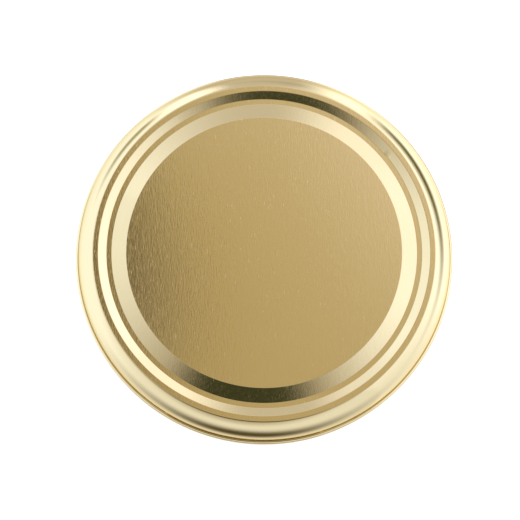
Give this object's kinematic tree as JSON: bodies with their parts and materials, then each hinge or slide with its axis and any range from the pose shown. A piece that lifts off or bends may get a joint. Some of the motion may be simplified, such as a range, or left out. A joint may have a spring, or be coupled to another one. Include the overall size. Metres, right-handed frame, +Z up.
{
  "type": "preserving jar",
  "caption": "Squat tapered glass preserving jar with a one-piece gold stamped metal twist-off lid and its ring of sealing compound.",
  "frame": {"origin": "centre of the base, on the plane the jar stands on", "axes": "+Z up along the jar's axis; +X through the tight end of one glass thread"},
  "size_m": [0.0852, 0.0852, 0.067],
  "materials": {
    "clear_glass": "clear, smooth moulded soda-lime glass",
    "gold_tinplate": "tinplate with a clear gold lacquer over fine rolling grain",
    "sealing_compound": "matt cream-white flowed-in sealing compound"
  },
  "bodies": {
    "jar": {"glass_jar": "clear_glass"},
    "lid_lift_body": {"sealing_ring": "sealing_compound"},
    "lid": {"lid_shell": "gold_tinplate"}
  },
  "joints": [
    {"name": "lid_lift", "type": "slide", "parent": "jar", "child": "lid_lift_body", "axis": [0, 0, 1], "range_m": [0, 0.03]},
    {"name": "lid_twist", "type": "hinge", "parent": "lid_lift_body", "child": "lid", "pos_m": [0, 0, 0.0592], "axis": [0, 0, 1], "range_deg": [-35, 0]}
  ]
}
